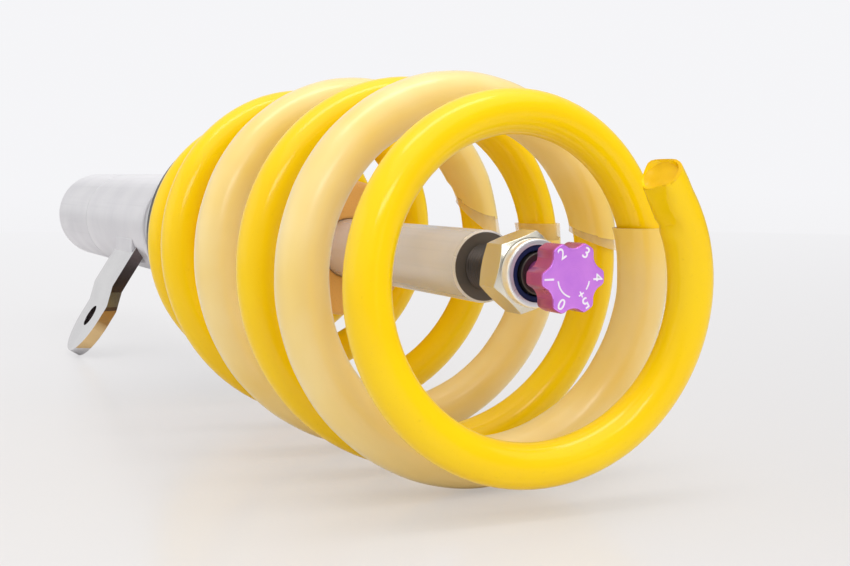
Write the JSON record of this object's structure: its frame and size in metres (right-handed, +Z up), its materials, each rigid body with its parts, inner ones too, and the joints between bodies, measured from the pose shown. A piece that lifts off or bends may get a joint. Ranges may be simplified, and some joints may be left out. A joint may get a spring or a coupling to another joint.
{
  "type": "coilover strut",
  "caption": "Coilover strut lying on its side: damper tube with link bracket, piston rod with rebound dial, flared coil spring on a threaded perch.",
  "frame": {"origin": "middle of the footprint on the ground, below the strut as it lies on its coils and bracket", "axes": "+X along the strut axis towards the rebound dial, +Z up, the link bracket points down towards -Y"},
  "size_m": [0.577, 0.1328, 0.1331],
  "materials": {
    "bare_steel": "satin ground tube",
    "rod_chrome": "hard chrome with a black threaded stud",
    "spring_yellow": "glossy powder coat",
    "clear_sleeving": "translucent cream sleeving",
    "bump_orange": "cast polyurethane",
    "bracket_steel": "bright plate",
    "black_alloy": "black anodised",
    "inner_steel": "turned",
    "seal_rubber": "black",
    "bush_bronze": "bronze",
    "nut_zinc": "yellow zinc",
    "nylon_blue": "navy nylon",
    "dial_purple": "purple anodised"
  },
  "bodies": {
    "strut": {"strut_tube": "bare_steel", "tube_plug": "bare_steel", "threaded_sleeve": "bare_steel", "sleeve_snap_ring": "inner_steel", "link_bracket": "bracket_steel", "bracket_welds": "bracket_steel", "gland_nut": "black_alloy", "wiper_ring": "seal_rubber", "rod_seal": "seal_rubber", "rod_guide": "inner_steel", "guide_bush": "bush_bronze", "inner_tube": "inner_steel", "base_valve": "inner_steel", "bump_stop": "bump_orange"},
    "perch": {"thrust_washer": "inner_steel", "spring_seat": "black_alloy", "seat_pad": "seal_rubber", "main_spring": "spring_yellow", "front_spring_sleeve": "clear_sleeving", "rear_spring_sleeve": "clear_sleeving"},
    "collar": {"adjuster_collar": "black_alloy", "lock_ring": "black_alloy", "collar_lock_screw": "inner_steel"},
    "rod": {"piston_rod": "rod_chrome", "rebound_stop": "seal_rubber", "piston": "inner_steel", "piston_band": "bush_bronze", "piston_shims": "inner_steel", "piston_nut": "inner_steel", "top_nut": "nut_zinc", "nylon_ring": "nylon_blue"},
    "dial": {"rebound_dial": "dial_purple", "adjuster_rod": "inner_steel"}
  },
  "joints": [
    {"name": "perch_slide", "type": "slide", "parent": "strut", "child": "perch", "axis": [1, 0, 0], "range_m": [-0.0102, 0.0062]},
    {"name": "collar_turn", "type": "hinge", "parent": "perch", "child": "collar", "pos_m": [0.02, -0.0025, 0.07014], "axis": [1, 0, 0], "range_deg": [-1800, 1080]},
    {"name": "rod_slide", "type": "slide", "parent": "strut", "child": "rod", "axis": [1, 0, 0], "range_m": [-0.1, 0]},
    {"name": "dial_turn", "type": "hinge", "parent": "rod", "child": "dial", "pos_m": [0.2845, -0.0025, 0.07014], "axis": [1, 0, 0], "range_deg": [-300, 0]}
  ],
  "couplings": [
    {"joint": "perch_slide", "follows": "collar_turn", "m_per_rad": 0.00031831}
  ]
}
